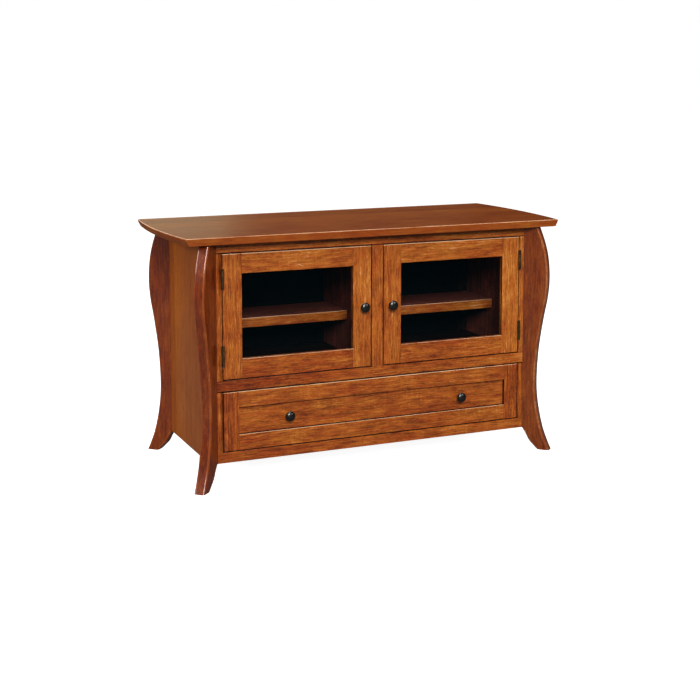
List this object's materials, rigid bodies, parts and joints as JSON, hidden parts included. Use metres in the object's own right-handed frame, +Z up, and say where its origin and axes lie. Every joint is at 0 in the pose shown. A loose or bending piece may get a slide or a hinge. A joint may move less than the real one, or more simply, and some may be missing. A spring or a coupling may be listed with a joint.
{
  "type": "tv cabinet",
  "caption": "Low wooden cabinet with a bowed top, flared corner legs, glass doors over a wide drawer, and a shelf behind each door.",
  "frame": {"origin": "on the floor, under the centre of the cabinet's bounding box", "axes": "+Z up, +X along the width towards the cabinet's right as seen from the front, +Y from front to back"},
  "size_m": [1.293, 0.5725, 0.762],
  "materials": {
    "dark_cherry": "satin lacquer over dark stain",
    "cherry": "satin lacquer over warm stain",
    "plywood": "matt stain",
    "drawer_maple": "clear matt lacquer",
    "glass": "clear",
    "bronze": "oil-rubbed dark bronze",
    "steel": "zinc plated",
    "catch_plastic": "matt"
  },
  "bodies": {
    "case": {"top_panel": "dark_cherry", "leg_front_left": "dark_cherry", "leg_front_right": "dark_cherry", "leg_back_left": "dark_cherry", "leg_back_right": "dark_cherry", "side_panel_left": "dark_cherry", "side_panel_right": "dark_cherry", "back_stile_left": "dark_cherry", "back_stile_right": "dark_cherry", "front_stile_left": "cherry", "front_stile_right": "cherry", "front_centre_stile": "cherry", "front_top_rail": "cherry", "front_middle_rail": "cherry", "front_bottom_rail": "cherry", "centre_partition": "cherry", "middle_deck": "cherry", "bottom_deck": "cherry", "shelf_left": "cherry", "shelf_right": "cherry", "back_panel": "plywood", "left_lower_hinge_frame_leaf": "bronze", "left_upper_hinge_frame_leaf": "bronze", "left_door_catch": "catch_plastic", "slide_left_channel": "steel", "right_lower_hinge_frame_leaf": "bronze", "right_upper_hinge_frame_leaf": "bronze", "right_door_catch": "catch_plastic", "slide_right_channel": "steel"},
    "left_door": {"left_door_latch_stile": "cherry", "left_door_hinge_stile": "cherry", "left_door_top_rail": "cherry", "left_door_bottom_rail": "cherry", "left_door_glass": "glass", "left_door_knob": "bronze", "left_lower_hinge_door_leaf": "bronze", "left_upper_hinge_door_leaf": "bronze"},
    "right_door": {"right_door_latch_stile": "cherry", "right_door_hinge_stile": "cherry", "right_door_top_rail": "cherry", "right_door_bottom_rail": "cherry", "right_door_glass": "glass", "right_door_knob": "bronze", "right_lower_hinge_door_leaf": "bronze", "right_upper_hinge_door_leaf": "bronze"},
    "drawer": {"drawer_front_stile_left": "cherry", "drawer_front_stile_right": "cherry", "drawer_front_top_rail": "cherry", "drawer_front_bottom_rail": "cherry", "drawer_front_panel": "cherry", "drawer_side_left": "drawer_maple", "drawer_side_right": "drawer_maple", "drawer_back": "drawer_maple", "drawer_bottom": "drawer_maple", "drawer_knob_left": "bronze", "slide_left_drawer_rail": "steel", "drawer_knob_right": "bronze", "slide_right_drawer_rail": "steel"},
    "left_slide_member": {"slide_left_middle": "steel"},
    "right_slide_member": {"slide_right_middle": "steel"}
  },
  "joints": [
    {"name": "left_door_hinge", "type": "hinge", "parent": "case", "child": "left_door", "pos_m": [-0.5071, -0.22646, 0.515], "axis": [0, 0, -1], "range_deg": [0, 135]},
    {"name": "right_door_hinge", "type": "hinge", "parent": "case", "child": "right_door", "pos_m": [0.5071, -0.22646, 0.515], "axis": [0, 0, 1], "range_deg": [0, 135]},
    {"name": "drawer_slide", "type": "slide", "parent": "case", "child": "drawer", "axis": [0, -1, 0], "range_m": [0, 0.33]},
    {"name": "left_slide_travel", "type": "slide", "parent": "case", "child": "left_slide_member", "axis": [0, -1, 0], "range_m": [0, 0.165]},
    {"name": "right_slide_travel", "type": "slide", "parent": "case", "child": "right_slide_member", "axis": [0, -1, 0], "range_m": [0, 0.165]}
  ],
  "couplings": [
    {"joint": "left_slide_travel", "follows": "drawer_slide", "ratio": 0.5},
    {"joint": "right_slide_travel", "follows": "drawer_slide", "ratio": 0.5}
  ]
}
